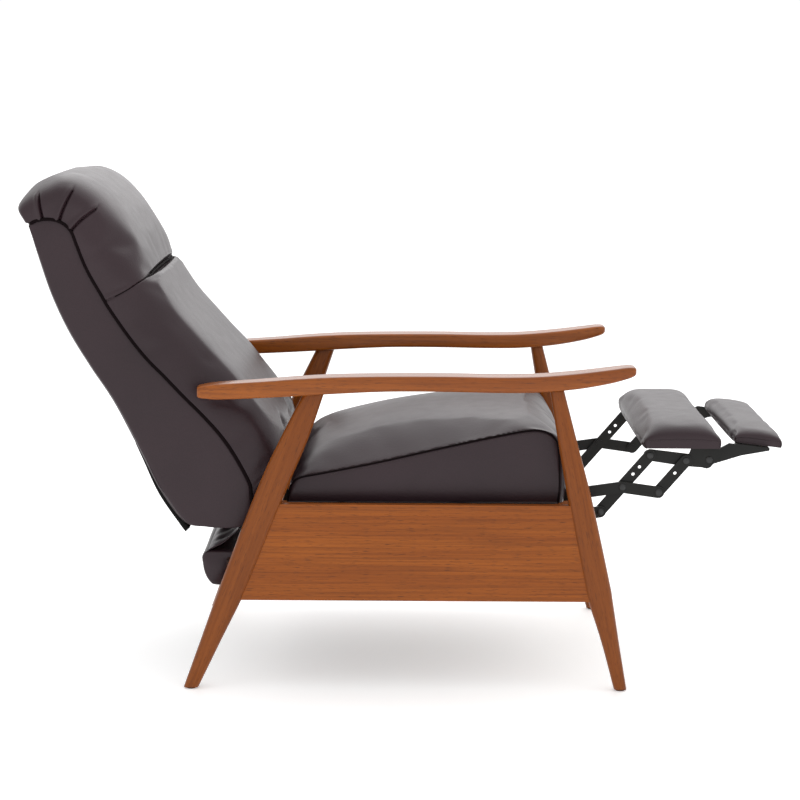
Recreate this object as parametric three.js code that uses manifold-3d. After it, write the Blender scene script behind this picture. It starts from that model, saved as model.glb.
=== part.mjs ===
// Push-back recliner armchair with an open wood frame, shown with its back reclined and its footrest out.
// Millimetres, +Z up, +X towards the sitter's feet, +Y to the sitter's left. The chair stands on z = 0.
import * as THREE from "three";
import { mergeVertices } from "three/addons/utils/BufferGeometryUtils.js";
import Module from "manifold-3d";

const wasm = await Module();
wasm.setup();

// ---------------------------------------------------------------- driving dimensions
const CENTRE_X = 14.2; // middle of the whole chair, from the design origin between the legs
const GAP = 0.3; // between pieces that touch

const LEG_Y = 314.5; // middle of a leg, from the middle of the chair
const LEG_THICK = 36;
const ARM_Y = 319;
const PANEL_Y = [308.5, 326.5]; // inner and outer face of a side panel
const PANEL_Z = [171, 355];
const INSIDE_Y = 296; // cross rails and the rear rail reach this far
const BODY_Y = 280; // half the width of the seat and of the back

const GLIDE_DEG = 6; // the seat climbs this much as it slides forward
const GLIDE_TRAVEL = 45;

// Steel plates lie side by side in layers, counted from the outermost one.
const PLATE = 3.5;
const LAYER_PITCH = 6;
const layer = (n) => [250 - n * LAYER_PITCH, 250 - n * LAYER_PITCH + PLATE];
const [SEAT_LAYER, LOWER_LAYER, CROSS_LAYER, BRACKET_LAYER, FLIP_LAYER] = [0, 1, 2, 3, 4];
const PIN_R = 5;
const HOLE_R = 5.5;
const HEAD_R = 8;
const HEAD_T = 1.5;
const LINK_R = 11; // half the width of a link, and the radius of its ends

// Pivots of the footrest linkage, [x, z], with the footrest out. Its links make two parallelograms.
const LOWER_PIVOT = [300, 358];
const CROSS_PIVOT = [424, 376];
const CROSS_UP = [52, 60.8]; // from the cross pivot to the cross link's top, and the same for the front link
// From the cross pivot to the lower link's front end, and the same for the bracket.
const LOWER_ON = [69.3, -9.7];
const CROSS_DOWN = [-41, -48]; // from the cross pivot to the cross link's lower end
const FLIP_PIVOT = [590, 428];
const BACK_PIVOT = [-240, 365];
const GLIDE_PINS = [[-110, 322], [120, 322]];

const plus = ([x, z], [dx, dz]) => [x + dx, z + dz];
const CROSS_TOP = plus(CROSS_PIVOT, CROSS_UP);
const FRONT_PIVOT = plus(CROSS_PIVOT, LOWER_ON);
const BRACKET_PIVOT = plus(FRONT_PIVOT, CROSS_UP);
const CROSS_LOW = plus(CROSS_PIVOT, CROSS_DOWN);
const DRIVE_PIVOT = plus(LOWER_PIVOT, CROSS_DOWN);

// ---------------------------------------------------------------- materials
const material = (color, roughness, metalness = 0) =>
  new THREE.MeshStandardMaterial({ color, roughness, metalness });
const walnut = material(0x8a4b22, 0.4);
const ply = material(0xc9a877, 0.75);
const leather = material(0x2e2426, 0.4);
const paintedSteel = material(0x1d1d1c, 0.5, 0.6);
const springSteel = material(0x8d8f92, 0.35, 1);
const webbing = material(0x121212, 0.9);
const glidePlastic = material(0x3a2b22, 0.6);

// ---------------------------------------------------------------- shape helpers
const chair = new THREE.Group();
chair.position.x = -CENTRE_X;

function add(name, geometry, finish) {
  const mesh = new THREE.Mesh(geometry, finish);
  mesh.name = name;
  chair.add(mesh);
  return mesh;
}

// The same piece on the left, where it is modelled, and mirrored on the right.
function addPair(name, geometry, finish) {
  add(name + "_left", geometry, finish);
  add(name + "_right", geometry, finish).scale.y = -1;
}

const vectors = (points) => points.map(([x, y]) => new THREE.Vector2(x, y));

// A closed outline in x and z, given by straight stretches and smooth ones: { through: [...] } is a curve
// that starts at the point before it. steps is the number of straight pieces between two of its points.
function outline(...stretches) {
  const points = [];
  for (const stretch of stretches) {
    const added = vectors(stretch.through ?? stretch);
    if (!stretch.through) {
      points.push(...added);
      continue;
    }
    const knots = [...points.slice(-1), ...added];
    const curve = new THREE.SplineCurve(knots).getPoints((knots.length - 1) * (stretch.steps ?? 3));
    points.push(...curve.slice(points.length ? 1 : 0));
  }
  return new THREE.Shape(points.filter((p, i) => p.distanceTo(points.at(i - 1)) > 0.01));
}

// Points round a circle, from one angle to another, without the last one.
const arc = ([x, z], r, start, turn, steps) =>
  Array.from({ length: steps }, (_, i) => {
    const angle = start + (turn * i) / steps;
    return new THREE.Vector2(x + r * Math.cos(angle), z + r * Math.sin(angle));
  });

// Extrudes an outline in x and z from y = from to y = to. edge rounds the two rims, inside that outline.
function slab(shape, [from, to], edge = 0) {
  const geometry = new THREE.ExtrudeGeometry(shape, {
    depth: to - from - 2 * edge,
    bevelEnabled: edge > 0,
    bevelThickness: edge,
    bevelSize: edge,
    bevelOffset: -edge,
    bevelSegments: 2,
  });
  return geometry.rotateX(Math.PI / 2).translate(0, to - edge, 0);
}

const box = ([x0, x1], [y0, y1], [z0, z1]) =>
  new THREE.BoxGeometry(x1 - x0, y1 - y0, z1 - z0).translate((x0 + x1) / 2, (y0 + y1) / 2, (z0 + z1) / 2);

const rod = ([x, z], r, [from, to], sides = 16) =>
  new THREE.CylinderGeometry(r, r, to - from, sides).translate(x, (from + to) / 2, z);

// A flat bar of half width r that follows the points, with round ends.
function strap(points, r) {
  const p = vectors(points);
  const side = (a, b) => new THREE.Vector2(a.y - b.y, b.x - a.x).normalize().multiplyScalar(r);
  const sides = p.slice(1).map((end, i) => side(p[i], end));
  const bends = p.slice(1, -1).map((at, i) => {
    const both = sides[i].clone().add(sides[i + 1]);
    return { at, out: both.multiplyScalar((2 * r * r) / both.lengthSq()) };
  });
  const cap = (at, start) => [
    ...arc(at.toArray(), r, start, Math.PI, 7),
    at.clone().add(sideAt(start + Math.PI, r)),
  ];
  const sideAt = (angle, length) =>
    new THREE.Vector2(Math.cos(angle), Math.sin(angle)).multiplyScalar(length);
  return new THREE.Shape([
    ...cap(p[0], sides[0].angle()),
    ...bends.map(({ at, out }) => at.clone().sub(out)),
    ...cap(p.at(-1), sides.at(-1).angle() + Math.PI),
    ...bends.reverse().map(({ at, out }) => at.clone().add(out)),
  ]);
}

// ---------------------------------------------------------------- solids for joining and cutting
function solid(geometry) {
  const flat = (geometry.index ? geometry.toNonIndexed() : geometry.clone()).deleteAttribute("normal");
  flat.deleteAttribute("uv");
  const merged = mergeVertices(flat, 1e-3);
  return new wasm.Manifold(
    new wasm.Mesh({
      numProp: 3,
      vertProperties: merged.attributes.position.array,
      triVerts: new Uint32Array(merged.index.array),
    }),
  );
}

function geometryOf(made) {
  const mesh = made.getMesh();
  return new THREE.BufferGeometry()
    .setAttribute("position", new THREE.BufferAttribute(new Float32Array(mesh.vertProperties), 3))
    .setIndex(new THREE.BufferAttribute(new Uint32Array(mesh.triVerts), 1));
}

const joined = (...parts) => geometryOf(parts.map(solid).reduce((a, b) => a.add(b)));
const cut = (whole, ...cutters) =>
  geometryOf(cutters.map(solid).reduce((a, b) => a.subtract(b), solid(whole)));

// A surface through rings of points, closed by a fan at each end.
function skin(rings) {
  const n = rings[0].length;
  const middle = (ring) => ring.reduce((s, p) => s.add(p), new THREE.Vector3()).divideScalar(n);
  const points = [...rings.flat(), middle(rings[0]), middle(rings.at(-1))];
  const faces = [];
  for (let r = 0; r + 1 < rings.length; r++) {
    for (let i = 0; i < n; i++) {
      const [a, b] = [r * n + i, r * n + ((i + 1) % n)];
      faces.push(a, b, b + n, a, b + n, a + n);
    }
  }
  const top = (rings.length - 1) * n;
  for (let i = 0; i < n; i++) {
    const next = (i + 1) % n;
    faces.push(points.length - 2, next, i, points.length - 1, top + i, top + next);
  }
  return new THREE.BufferGeometry()
    .setAttribute("position", new THREE.Float32BufferAttribute(points.flatMap((p) => [p.x, p.y, p.z]), 3))
    .setIndex(faces);
}

// One point of a soft-cornered section. power 2 is an ellipse, and a higher one is squarer.
function softCorner(i, sides, halfA, halfB, power) {
  const angle = ((i + 0.5) / sides) * Math.PI * 2;
  const bend = (v) => Math.sign(v) * Math.abs(v) ** (2 / power);
  return [halfA * bend(Math.cos(angle)), halfB * bend(Math.sin(angle))];
}

// ---------------------------------------------------------------- wood frame
// Stations of a leg from the floor up: height, rear edge, front edge, thickness.
const FRONT_LEG = [
  [0, 409, 433, 24],
  [90, 384, 417, 31],
  [172, 357, 403.5, 36],
  [207, 348, 397, 36],
  [364, 316, 361, 36],
  [475, 295.5, 331, 33],
  [571, 279, 305, 27],
];
const REAR_LEG = [
  [0, -407, -379, 24],
  [90, -375, -336, 31],
  [172, -346, -296, 36],
  [240, -321, -267, 36],
  [391, -263, -207, 36],
  [480, -222, -170, 34],
  [561, -180, -143, 28],
];

function leg(stations, grow = 0) {
  const sides = 16;
  return skin(
    stations.map(([z, rear, front, thick]) =>
      Array.from({ length: sides }, (_, i) => {
        const [a, b] = softCorner(i, sides, (front - rear) / 2 + grow, thick / 2 + grow, 3.2);
        return new THREE.Vector3((front + rear) / 2 + a, LEG_Y + b, z);
      }),
    ),
  );
}

// Stations of an arm from its rear tip: distance forward, underside, top, width.
const ARM = [
  [-376, 557, 576, 34],
  [-368, 555, 578.5, 38],
  [-335, 554, 583, 44],
  [-262, 557.5, 588, 51],
  [-188, 562, 594, 56],
  [-114, 567, 598, 58],
  [-20, 571.5, 600, 58],
  [90, 571.8, 600.5, 58],
  [180, 570.5, 599.5, 58],
  [255, 571.5, 601, 58],
  [327, 578, 607, 57],
  [385, 588, 614, 54],
  [420, 597, 618.5, 49],
  [432, 602, 618, 44],
  [436.5, 606.5, 615, 38],
];

function arm() {
  const sides = 20;
  return skin(
    ARM.map(([x, under, top, width]) =>
      Array.from({ length: sides }, (_, i) => {
        const [a, b] = softCorner(i, sides, width / 2, (top - under) / 2, 5);
        return new THREE.Vector3(x, ARM_Y + a, (top + under) / 2 + b);
      }),
    ),
  );
}

// The arm's underside is tilted, so each leg top is cut by a slightly lowered copy of the arm.
const loweredArm = () => arm().translate(0, 0, -GAP);
const LEG_TOP_OVER = 12;
const raised = (stations) => {
  const [z, rear, front, thick] = stations.at(-1);
  const [zBelow, rearBelow, frontBelow] = stations.at(-2);
  const share = LEG_TOP_OVER / (z - zBelow);
  return [
    ...stations.slice(0, -1),
    [z + LEG_TOP_OVER, rear + share * (rear - rearBelow), front + share * (front - frontBelow), thick],
  ];
};
const cutLeg = (stations) => cut(leg(raised(stations)), loweredArm());

addPair("arm", arm(), walnut);
addPair("front_leg", cutLeg(FRONT_LEG), walnut);
addPair("rear_leg", cutLeg(REAR_LEG), walnut);

const panelBlank = slab(
  outline([[-325, PANEL_Z[0]], [380, PANEL_Z[0]], [340, PANEL_Z[1]], [-240, PANEL_Z[1]]]),
  PANEL_Y,
);
addPair("side_panel", cut(panelBlank, leg(FRONT_LEG, GAP), leg(REAR_LEG, GAP)), walnut);

const FRONT_RAIL_X = [112, 134];
add("front_cross_rail", box(FRONT_RAIL_X, [GAP - PANEL_Y[0], PANEL_Y[0] - GAP], [176, 226]), ply);

// The rear rail carries the upholstered cover that shows behind the rear legs.
const RAIL_CORE = { x: [-326, -300], z: [194, 240] };
add("rear_rail", box(RAIL_CORE.x, [-INSIDE_Y, INSIDE_Y], RAIL_CORE.z), ply);
const coverOutline = outline(
  [[-296, 190], [-296, 248], [-356, 250]],
  { through: [[-371, 246], [-375, 236], [-370, 206], [-360, 189], [-346, 184]] },
);
const coverHole = box(
  [RAIL_CORE.x[0] - GAP, RAIL_CORE.x[1] + GAP],
  [-INSIDE_Y, INSIDE_Y],
  [RAIL_CORE.z[0] - GAP, RAIL_CORE.z[1] + GAP],
);
const COVER_HALF = 266;
add("rear_rail_cover", cut(slab(coverOutline, [-COVER_HALF, COVER_HALF], 6), coverHole), leather);

// A leather flap closes the gap between the rear rail and the underside of the back.
const flapOutline = outline(
  { through: [[-366, 250.5], [-352, 262], [-330, 276], [-306, 292]] },
  { through: [[-303, 290], [-327, 273], [-349, 259], [-361, 250.5]] },
);
add("rear_flap", slab(flapOutline, [-258, 258]), leather);

// Steel tracks, screwed to the side panels, that the seat slides on.
const TRACK_X = [-190, 200];
const TRACK_Z = [300, 344];
const TRACK_Y = [284, PANEL_Y[0] - GAP];
const TRACK_T = 3;
function track() {
  const channel = cut(
    box(TRACK_X, TRACK_Y, TRACK_Z),
    box(
      [TRACK_X[0] - 1, TRACK_X[1] + 1],
      [TRACK_Y[0] + TRACK_T, TRACK_Y[1] + 1],
      [TRACK_Z[0] + TRACK_T, TRACK_Z[1] - TRACK_T],
    ),
  );
  const back = [
    -GLIDE_TRAVEL * Math.cos(THREE.MathUtils.degToRad(GLIDE_DEG)),
    -GLIDE_TRAVEL * Math.sin(THREE.MathUtils.degToRad(GLIDE_DEG)),
  ];
  const through = [TRACK_Y[0] - 1, TRACK_Y[0] + TRACK_T + 1];
  const slots = GLIDE_PINS.map((pin) => slab(strap([plus(pin, back), pin], 6.8), through));
  return cut(channel, ...slots);
}
addPair("glide_track", track(), paintedSteel);

// Plastic glides under the feet.
const GLIDE_T = 3;
const footMiddle = (stations) => (stations[0][1] + stations[0][2]) / 2;
function footGlide(x) {
  return new THREE.CylinderGeometry(9.5, 8.5, GLIDE_T - GAP, 16)
    .rotateX(Math.PI / 2)
    .translate(x, LEG_Y, (GLIDE_T - GAP) / 2 - GLIDE_T);
}
addPair("front_glide", footGlide(footMiddle(FRONT_LEG)), glidePlastic);
addPair("rear_glide", footGlide(footMiddle(REAR_LEG)), glidePlastic);

// ---------------------------------------------------------------- seat
const SEAT_X = [-206, 302];
const SEAT_RAIL_Y = [255.5, 277];
const SEAT_BOTTOM = 350;
const frameTop = (x) => 372 + ((x - SEAT_X[0]) / (SEAT_X[1] - SEAT_X[0])) * 42;

const sideRail = slab(
  outline([
    ...SEAT_X.map((x) => [x, SEAT_BOTTOM]),
    [SEAT_X[1], frameTop(SEAT_X[1])],
    [SEAT_X[0], frameTop(SEAT_X[0])],
  ]),
  SEAT_RAIL_Y,
);
addPair("seat_side_rail", sideRail, ply);

const crossHalf = SEAT_RAIL_Y[0] - GAP;
const FRONT_BAR_X = [280, SEAT_X[1]];
const REAR_BAR_X = [-190, -168];
const crossBar = ([x0, x1], depth) =>
  slab(
    outline([[x0, frameTop(x0) - depth], [x1, frameTop(x1) - depth], [x1, frameTop(x1)], [x0, frameTop(x0)]]),
    [-crossHalf, crossHalf],
  );
add("seat_front_bar", crossBar(FRONT_BAR_X, 30), ply);
add("seat_rear_bar", crossBar(REAR_BAR_X, 20), ply);

// Sinuous springs run from the rear bar to the front bar.
const SPRING_R = 1.9;
const SPRING_SWING = 21;
const SPRING_Y = [-165, -55, 55, 165];
function sinuousSpring(y) {
  const points = [];
  const steps = 44;
  const [x0, x1] = [REAR_BAR_X[1] + 3, FRONT_BAR_X[0] - 3];
  for (let i = 0; i <= steps; i++) {
    const x = x0 + ((x1 - x0) * i) / steps;
    points.push(new THREE.Vector3(x, y + SPRING_SWING * Math.sin((i * Math.PI) / 2), frameTop(x) - 7));
  }
  const wire = new THREE.Shape().absarc(0, 0, SPRING_R, 0, Math.PI * 2);
  return new THREE.ExtrudeGeometry(wire, {
    steps: steps * 1.5,
    curveSegments: 3,
    extrudePath: new THREE.CatmullRomCurve3(points),
  });
}
SPRING_Y.forEach((y, i) => add(`seat_spring_${i + 1}`, sinuousSpring(y), springSteel));

const cushionBase = (x) => frameTop(x) + GAP;
const seatOutline = outline(
  [[-203, cushionBase(-203)], [318, cushionBase(318)], [324, 440]],
  { through: [[314, 472], [286, 492], [230, 498]], steps: 2 },
  { through: [[110, 497], [-20, 482], [-114, 458], [-176, 431], [-198, 400]] },
);
add("seat_cushion", slab(seatOutline, [-BODY_Y, BODY_Y], 9), leather);

// Steel side plates under the seat carry the slide pins, the back hinge and the footrest linkage.
const [seatIn, seatOut] = layer(SEAT_LAYER);
const seatPlateOutline = outline(
  [[-252, 353], [-240, 349], [-180, 346], [-140, 308], [-95, 306]],
  [[-60, 330], [70, 330], [104, 306], [150, 304]],
  [[180, 322], [215, 322], [240, 298]],
  { through: [[258, 294], [273, 302], [275, 316]] },
  [[262, 330], [290, 342], [311, 349], [314, 362], [304, 371], [292, 371], [270, 348.5], [-190, 348.5]],
  [[-222, 378], [-236, 381], [-252, 376]],
);
const headIn = (n) => [layer(n)[0] - HEAD_T - 0.2, layer(n)[0] - 0.2];
const throughPin = (at, fromLayer, toLayer) => [
  rod(at, PIN_R, [headIn(toLayer)[0], layer(fromLayer)[0] + 1]),
  rod(at, HEAD_R, headIn(toLayer)),
];
const seatPlate = joined(
  slab(seatPlateOutline, [seatIn, seatOut]),
  ...throughPin(LOWER_PIVOT, SEAT_LAYER, LOWER_LAYER),
  ...throughPin(DRIVE_PIVOT, SEAT_LAYER, LOWER_LAYER),
  ...throughPin(BACK_PIVOT, SEAT_LAYER, LOWER_LAYER),
  ...GLIDE_PINS.map((pin) => rod(pin, 6, [seatOut - 1, TRACK_Y[0] + TRACK_T + 2])),
);
addPair("seat_plate", seatPlate, paintedSteel);

// ---------------------------------------------------------------- footrest linkage
const holed = (shape, ...holes) => {
  const against = THREE.ShapeUtils.isClockWise(shape.getPoints()) ? 1 : -1; // a hole runs the other way round
  shape.holes = holes.map(([centre, r]) => new THREE.Path(arc(centre, r, 0, against * Math.PI * 2, 14)));
  return shape;
};
const along = ([x0, z0], [x1, z1], share) => [x0 + (x1 - x0) * share, z0 + (z1 - z0) * share];
const SPARE_HOLE_R = 3.2;

const lowerLink = joined(
  slab(
    holed(strap([LOWER_PIVOT, CROSS_PIVOT, FRONT_PIVOT], LINK_R), [LOWER_PIVOT, HOLE_R]),
    layer(LOWER_LAYER),
  ),
  ...throughPin(CROSS_PIVOT, LOWER_LAYER, CROSS_LAYER),
  ...throughPin(FRONT_PIVOT, LOWER_LAYER, CROSS_LAYER),
);
addPair("lower_link", lowerLink, paintedSteel);

const crossLink = joined(
  slab(
    holed(
      strap([CROSS_LOW, CROSS_PIVOT, CROSS_TOP], LINK_R),
      [CROSS_PIVOT, HOLE_R],
      [CROSS_LOW, HOLE_R],
      [along(CROSS_PIVOT, CROSS_TOP, 0.4), SPARE_HOLE_R],
      [along(CROSS_PIVOT, CROSS_TOP, 0.63), SPARE_HOLE_R],
    ),
    layer(CROSS_LAYER),
  ),
  ...throughPin(CROSS_TOP, CROSS_LAYER, BRACKET_LAYER),
);
addPair("cross_link", crossLink, paintedSteel);

const frontLink = joined(
  slab(
    holed(
      strap([FRONT_PIVOT, BRACKET_PIVOT], LINK_R),
      [FRONT_PIVOT, HOLE_R],
      [along(FRONT_PIVOT, BRACKET_PIVOT, 0.6), SPARE_HOLE_R],
    ),
    layer(CROSS_LAYER),
  ),
  ...throughPin(BRACKET_PIVOT, CROSS_LAYER, BRACKET_LAYER),
);
addPair("front_link", frontLink, paintedSteel);

const driveLink = joined(
  slab(holed(strap([DRIVE_PIVOT, CROSS_LOW], LINK_R), [DRIVE_PIVOT, HOLE_R]), layer(LOWER_LAYER)),
  ...throughPin(CROSS_LOW, LOWER_LAYER, CROSS_LAYER),
);
addPair("drive_link", driveLink, paintedSteel);

// A square tube keeps the two seat plates apart.
const TUBE_X = [150, 166];
const TUBE_Z = [306, 322];
const tubeEnd = layer(SEAT_LAYER)[0] - GAP;
add("seat_cross_tube", box(TUBE_X, [-tubeEnd, tubeEnd], TUBE_Z), paintedSteel);

// ---------------------------------------------------------------- footrest
const BOARD_Z = [452, 460];
const [bracketIn, bracketOut] = layer(BRACKET_LAYER);
const bracketWeb = slab(
  holed(
    outline(
      [[BRACKET_PIVOT[0] - 4, 415.5], [577, 413]],
      { through: [[586, 411], [593, 414]] },
      [[611, 436], [611, BOARD_Z[0] - GAP], [556, BOARD_Z[0] - GAP], [551, 439]],
      [plus(CROSS_TOP, [1, LINK_R])],
      { through: [[-8, 7.5], [-LINK_R, 0], [-3, -LINK_R]].map((step) => plus(CROSS_TOP, step)) },
    ),
    [CROSS_TOP, HOLE_R],
    [BRACKET_PIVOT, HOLE_R],
  ),
  [bracketIn, bracketOut],
);
const flangeUnder = ([z]) => [z - GAP - 3, z - GAP];
const bracketFlange = box([560, 608], [bracketIn - 24, bracketIn + 1], flangeUnder(BOARD_Z));
const flipPin = throughPin(FLIP_PIVOT, BRACKET_LAYER, FLIP_LAYER);
addPair("footrest_bracket", joined(bracketWeb, bracketFlange, ...flipPin), paintedSteel);

const PAD_X = [460, 613];
const PAD_Y = 258;
const PAD_TOP = 499;
add("footrest_board", box([PAD_X[0] + 10, PAD_X[1] - 10], [12 - PAD_Y, PAD_Y - 12], BOARD_Z), ply);
const padOutline = ([x0, x1], [z0, z1], corner) =>
  outline(
    [[x0 + corner / 2, z0], [x1 - corner / 2, z0]],
    { through: [[x1, z0 + corner * 0.6], [x1 - corner * 0.6, z1 - corner * 0.45], [x1 - corner * 2, z1 - 2],
      [(x0 + x1) / 2, z1]] },
    { through: [[x0 + corner * 2, z1 - 2], [x0 + corner * 0.6, z1 - corner * 0.45],
      [x0, z0 + corner * 0.6]] },
  );
add(
  "footrest_pad",
  slab(padOutline(PAD_X, [BOARD_Z[1] + GAP, PAD_TOP], 15), [-PAD_Y, PAD_Y], 7),
  leather,
);

// The flip pad is drawn level, and turned about its hinge so that its front edge hangs a little.
const FLIP_TILT = THREE.MathUtils.degToRad(7);
const FLIP_X = [42, 138];
const FLIP_BOARD_Z = [36, 42];
const FLIP_TOP = 63;
const FLIP_Y = 212;
const turned = (geometry) => geometry.rotateY(FLIP_TILT).translate(FLIP_PIVOT[0], 0, FLIP_PIVOT[1]);
const [flipIn, flipOut] = layer(FLIP_LAYER);
const flipArmWeb = slab(
  holed(
    outline(
      { through: [[4, -10.5], [-7, -8], [-11, 0], [-7, 8], [0, 11]] },
      [[34, FLIP_BOARD_Z[0] - GAP], [112, FLIP_BOARD_Z[0] - GAP], [112, FLIP_BOARD_Z[0] - 5], [60, 15]],
    ),
    [[0, 0], HOLE_R],
  ),
  [flipIn, flipOut],
);
const flipArmFlange = box([48, 112], [flipIn - 22, flipIn + 1], flangeUnder(FLIP_BOARD_Z));
addPair("flip_arm", turned(joined(flipArmWeb, flipArmFlange)), paintedSteel);
add("flip_board", turned(box([FLIP_X[0] + 8, FLIP_X[1] - 8], [8 - FLIP_Y, FLIP_Y - 8], FLIP_BOARD_Z)), ply);
add(
  "flip_pad",
  turned(slab(padOutline(FLIP_X, [FLIP_BOARD_Z[1] + GAP, FLIP_TOP], 10), [-FLIP_Y, FLIP_Y], 4)),
  leather,
);

// ---------------------------------------------------------------- back
// Side view of the back, from the bottom up: rear face, seam between side and cushion, and front face.
const REAR_LINE = [[-398, 305], [-445, 366], [-482, 436], [-534, 537], [-577, 605], [-617, 672], [-648, 737],
  [-671, 803], [-691, 868]];
const SEAM_LINE = [[-284, 388], [-338, 478], [-406, 550], [-477, 624], [-547, 721], [-602, 833]];
const HEAD_SEAM = [[-613, 864], [-633, 879], [-658, 882], [-684, 874]];
const FRONT_LINE = [[-469, 776], [-420, 706], [-348, 626], [-261, 514], [-214, 445]];
const moved = (points, dx, dz) => points.map(([x, z]) => [x + dx, z + dz]);
const upsideDown = (points) => [...points].reverse();

const STILE_Y = [247.5, 264];
const stileOutline = outline(
  { through: moved(REAR_LINE, 12, 3).slice(0, -1) },
  [[-664, 860]],
  { through: moved([...upsideDown(SEAM_LINE)], -8, -4) },
  [[-290, 350], [-300, 316], [-372, 306]],
);
addPair("back_stile", slab(stileOutline, STILE_Y), ply);

const railSpan = [-(STILE_Y[0] - GAP), STILE_Y[0] - GAP];
const backRail = (at, run) => {
  const [x, z] = at;
  const lean = THREE.MathUtils.degToRad(run);
  return new THREE.BoxGeometry(22, railSpan[1] - railSpan[0], 60).rotateY(-lean).translate(x, 0, z);
};
add("back_top_rail", backRail([-634, 828], 18), ply);
add("back_middle_rail", backRail([-505, 590], 38), ply);
add("back_bottom_rail", backRail([-352, 345], 20), ply);

// Leather side covers over the stiles.
const SIDE_Y = [STILE_Y[1] + GAP, BODY_Y - 2];
const sideOutline = outline(
  { through: REAR_LINE },
  { through: upsideDown(HEAD_SEAM).slice(1).map(([x, z]) => [x, z - 3]) },
  { through: moved(upsideDown(SEAM_LINE), -4, -2) },
  { through: [[-274, 358], [-278, 318], [-296, 303], [-339, 298], [-375, 300]] },
);
addPair("back_side", slab(sideOutline, SIDE_Y), leather);

// The outer back panel lies over the rear face and ends in a loose strip at the bottom.
const PANEL_T = 5;
const outerLine = moved(REAR_LINE, -GAP, -GAP / 2);
const [panelTop, ...panelRear] = moved(upsideDown(outerLine), -PANEL_T, -2);
add(
  "back_panel",
  slab(
    outline({ through: outerLine }, [panelTop], { through: panelRear }),
    [-BODY_Y + 8, BODY_Y - 8],
  ),
  leather,
);
const STRIP_Y = 262;
// Its inner face follows the panel, and it thickens from the top down, as [x, z, thickness].
const STRIP_LINE = [[-394, 298, 11], [-421, 327, 11], [-445, 362, 9], [-480, 431, 4], [-498, 467, 1.5]];
const stripInner = STRIP_LINE.map(([x, z]) => [x - PANEL_T - 1, z - 3.2]);
const stripOuter = STRIP_LINE.map(([x, z, t]) => [x - PANEL_T - 1 - 0.85 * t, z - 3.2 - 0.53 * t]);
add(
  "closure_strip",
  slab(outline({ through: stripInner }, { through: upsideDown(stripOuter) }), [-STRIP_Y, STRIP_Y]),
  webbing,
);

const cushionOutline = outline(
  { through: FRONT_LINE },
  [[-236, 404], [-284, 396]],
  { through: SEAM_LINE.slice(1, -1), steps: 2 },
  [[-588, 805]],
);
add("back_cushion", slab(cushionOutline, [-BODY_Y, BODY_Y], 11), leather);
const headOutline = outline(
  [[-468, 778], [-590, 808], [-602, 834]],
  { through: moved(HEAD_SEAM, 2, 2) },
  [[-690, 876]],
  { through: [[-712, 905], [-694, 932], [-655, 954], [-612, 964], [-572, 942], [-540, 900], [-512, 854],
    [-490, 817]] },
);
add("head_cushion", slab(headOutline, [-BODY_Y, BODY_Y], 11), leather);

const [bracketPlateIn, bracketPlateOut] = layer(LOWER_LAYER);
const hingeBracket = slab(
  holed(
    outline(
      [[-228, 359]],
      { through: [[-226, 368], [-231, 376], [-240, 379]] },
      [[-296, 380], [-330, 438], [-356, 424], [-318, 356], [-300, 348], [-240, 351]],
      { through: [[-233, 353]] },
    ),
    [BACK_PIVOT, HOLE_R],
  ),
  [bracketPlateIn, bracketPlateOut - GAP],
);
addPair("hinge_bracket", hingeBracket, paintedSteel);

chair.position.z = GLIDE_T;

export default chair;
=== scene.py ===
"""Looks of the push-back recliner armchair: carved walnut, stitched leather, black steel footrest linkage.

Design points are [x, z] in millimetres, as in the part's own drawing, and at() puts them in the row frame.
"""
import math

import bmesh
import bpy
import numpy as np
from mathutils import Matrix


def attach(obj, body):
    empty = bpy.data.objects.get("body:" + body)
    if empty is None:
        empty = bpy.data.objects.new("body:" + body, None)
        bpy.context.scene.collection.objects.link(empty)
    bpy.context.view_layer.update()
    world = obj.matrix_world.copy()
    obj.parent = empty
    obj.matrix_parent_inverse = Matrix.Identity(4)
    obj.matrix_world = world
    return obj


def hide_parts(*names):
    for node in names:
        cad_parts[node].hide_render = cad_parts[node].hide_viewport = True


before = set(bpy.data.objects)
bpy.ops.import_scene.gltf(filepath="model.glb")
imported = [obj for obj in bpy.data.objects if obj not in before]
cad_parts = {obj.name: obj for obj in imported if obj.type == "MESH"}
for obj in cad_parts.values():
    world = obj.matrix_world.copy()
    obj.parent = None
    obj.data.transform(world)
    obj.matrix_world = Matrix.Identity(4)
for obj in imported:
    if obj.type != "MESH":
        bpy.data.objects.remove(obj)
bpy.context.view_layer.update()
scene = bpy.context.scene

# ---------------------------------------------------------------- driving dimensions, in millimetres
CENTRE_X = 14.2
GLIDE_T = 3.0
LEG_Y = 314.5
ARM_Y = 319.0
BODY_Y = 280.0
SIDES = (("left", 1), ("right", -1))

REAR_LINE = [
    [-408, 308], [-451, 366], [-486, 435], [-537, 535], [-581, 603], [-621, 670], [-651, 736], [-673, 802],
    [-692, 868],
]
# The seam round the front of the back's side, and the front face level with it, from the bottom up.
SEAM_AND_FACE = [
    [-281, 326, -268, 340], [-280, 366, -232, 404], [-284, 388, -216, 440], [-311, 439, -224, 462],
    [-338, 478, -261, 514], [-370, 514, -290, 551], [-406, 550, -317, 586], [-442, 588, -353, 624],
    [-477, 624, -388, 663], [-512, 669, -424, 704], [-547, 721, -454, 749], [-558, 741, -470, 777],
    [-578, 776, -492, 817], [-592, 806, -515, 857], [-603, 836, -542, 901], [-614, 862, -580, 940],
    [-634, 878, -624, 958], [-656, 882, -662, 947], [-672, 880, -698, 928], [-682, 877, -721, 905],
    [-688, 873, -703, 876],
]
CREASE = 11  # the row of SEAM_AND_FACE where the head roll is sewn down
# The rows where the leather is pleated round the head's corners, at the seam and at the pleat's inner end.
PLEATS = [(14.9, 14.4), (16.0, 15.6), (17.5, 17.4)]


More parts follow.
